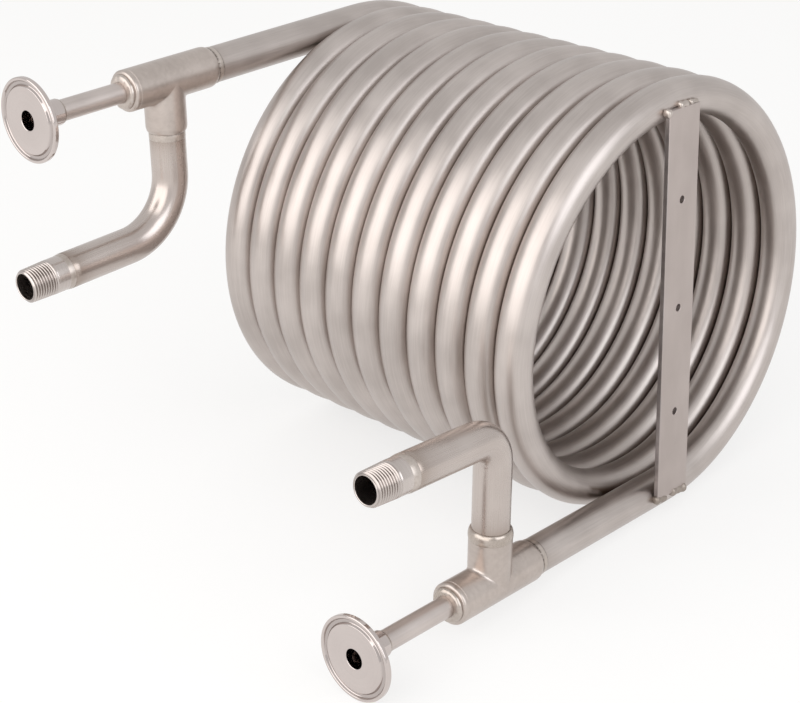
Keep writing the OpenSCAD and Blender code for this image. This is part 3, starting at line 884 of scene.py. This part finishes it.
end_up = bar_l / 2
edge = bar_w / 2
tack("top_middle_tack", (-4 * mm, end_up + 0.4 * mm, -0.8 * mm), (5.5 * mm, end_up + 0.6 * mm, -0.8 * mm),
     thick=3.0 * mm, wave=0.3 * mm, browned=0.1, metal=weld_metal)
tack("top_far_tack", (6 * mm, end_up + 0.5 * mm, -0.6 * mm), (edge, end_up + 0.2 * mm, -0.6 * mm),
     thick=2.2 * mm, wave=0.3 * mm, browned=0.1, metal=weld_metal)
tack("top_near_blob", (-edge - 3 * mm, end_up - 1.2 * mm, 0.6 * mm),
     (-edge + 2.4 * mm, end_up - 0.6 * mm, 0.6 * mm), thick=2.9 * mm, wave=0, browned=0, metal=weld_metal)
# The lower tacks take the darker copy of the weld metal: painted shade.
tack("bottom_near_tack", (-edge - 1.5 * mm, -end_up - 0.8 * mm, 0), (-edge + 10 * mm, -end_up - 1.3 * mm, 0),
     thick=3.3 * mm, wave=0.5 * mm, browned=0.12, metal=unbrushed_tack)
tack("bottom_far_tack", (0, -end_up - 1.0 * mm, 0), (edge + 0.5 * mm, -end_up - 0.4 * mm, 0),
     thick=3.6 * mm, wave=0.5 * mm, browned=0.12, metal=unbrushed_tack)

# ---------------------------------------------------------------------------------------------------------
# Studio
# A pale floor that keeps the chiller's shadow, in an even white room, with two soft boxes: a wide one in
# front and a smaller, cooler one on the right.
# ---------------------------------------------------------------------------------------------------------
floor_reach = 6.0
floor_corners = [(-floor_reach, -floor_reach, 0), (floor_reach, -floor_reach, 0),
                 (floor_reach, floor_reach, 0), (-floor_reach, floor_reach, 0)]
floor_mesh = bpy.data.meshes.new("floor")
floor_mesh.from_pydata(floor_corners, [], [(0, 1, 2, 3)])
floor = bpy.data.objects.new("floor", floor_mesh)
bpy.context.scene.collection.objects.link(floor)

# Matt paint that shades with the light, mixed with plain white where the camera or the steel sees it.
white_share = 0.7
floor_paint = bpy.data.materials.new("pale_studio_floor")
floor_paint.use_nodes = True
tree = floor_paint.node_tree
tree.nodes.clear()
rays = add(tree, "ShaderNodeLightPath").outputs
mirrored = add(tree, "ShaderNodeMath", {"operation": "MAXIMUM"}, _0=rays["Is Glossy Ray"],
               _1=rays["Is Transmission Ray"]).outputs[0]
seen = add(tree, "ShaderNodeMath", {"operation": "MAXIMUM"}, _0=rays["Is Camera Ray"],
           _1=mirrored).outputs[0]
share = add(tree, "ShaderNodeMath", {"operation": "MULTIPLY"}, _0=seen, _1=white_share).outputs[0]
matt = add(tree, "ShaderNodeBsdfDiffuse", color=linear("#f4f2ef")).outputs[0]
glow = add(tree, "ShaderNodeEmission", color=(1, 1, 1, 1), strength=1.0).outputs[0]
mixed = add(tree, "ShaderNodeMixShader", _0=share, _1=matt, _2=glow).outputs[0]
add(tree, "ShaderNodeOutputMaterial", surface=mixed)
floor_mesh.materials.append(floor_paint)

room_brightness = 0.8
world = bpy.data.worlds.new("studio")
bpy.context.scene.world = world
world.use_nodes = True
tree = world.node_tree
tree.nodes.clear()
room = add(tree, "ShaderNodeBackground", color=(1, 1, 1, 1), strength=room_brightness).outputs[0]
add(tree, "ShaderNodeOutputWorld", surface=room)

centre = (np.array(cad_box[0]) + np.array(cad_box[1])) / 2


def way_to(azimuth, elevation):
    """Direction from the chiller at an azimuth counted from -Y towards +X, and an elevation, in degrees."""
    turn, rise = np.radians((azimuth, elevation))
    return np.array([np.sin(turn) * np.cos(rise), -np.cos(turn) * np.cos(rise), np.sin(rise)])


def turned_to(back, place, roll=0.0):
    """Matrix of an object at place whose -Z looks along -back, with its X level before the roll."""
    level = unit(np.cross((0.0, 0.0, 1.0), back))
    up = np.cross(back, level)
    right = np.cos(roll) * level - np.sin(roll) * up
    up = np.sin(roll) * level + np.cos(roll) * up
    matrix = np.eye(4)
    matrix[:3] = np.stack([right, up, back, place], 1)
    return Matrix(matrix.tolist())


def soft_box(name, azimuth, elevation, width, height, brightness, colour):
    """A soft box as an area light that faces the chiller: power is brightness times pi times its area."""
    distance = 1.7
    lamp = bpy.data.lights.new(name, "AREA")
    lamp.shape, lamp.size, lamp.size_y = "RECTANGLE", width, height
    lamp.energy = brightness * np.pi * width * height
    lamp.color = linear(colour)[:3]
    box = bpy.data.objects.new(name, lamp)
    bpy.context.scene.collection.objects.link(box)
    back = way_to(azimuth, elevation)
    box.matrix_world = turned_to(back, centre + back * distance)


soft_box("key", azimuth=-3, elevation=27, width=2.9, height=1.8, brightness=1.5, colour="#fffdfb")
soft_box("fill", azimuth=91, elevation=26, width=1.2, height=1.2, brightness=1.75, colour="#f4f9ff")

# ---------------------------------------------------------------------------------------------------------
# Camera
# A long lens from the right and a little above, level but for a slight tilt.
# ---------------------------------------------------------------------------------------------------------
# Angles in degrees. It looks at a place just below and in front of the chiller's middle.
azimuth, elevation, tilt = 44.23, 26.55, 1.74
distance = 1.1736
focal_mm = 85.74
aim = centre + (0.0012, -0.02996, -0.0452)
back = way_to(azimuth, elevation)
lens = bpy.data.cameras.new("camera")
lens.lens = focal_mm
lens.clip_start, lens.clip_end = 0.05, 50
camera = bpy.data.objects.new("camera", lens)
bpy.context.scene.collection.objects.link(camera)
camera.matrix_world = turned_to(back, aim + back * distance, np.radians(tilt))
bpy.context.scene.camera = camera
bpy.context.scene.view_settings.view_transform = "Standard"
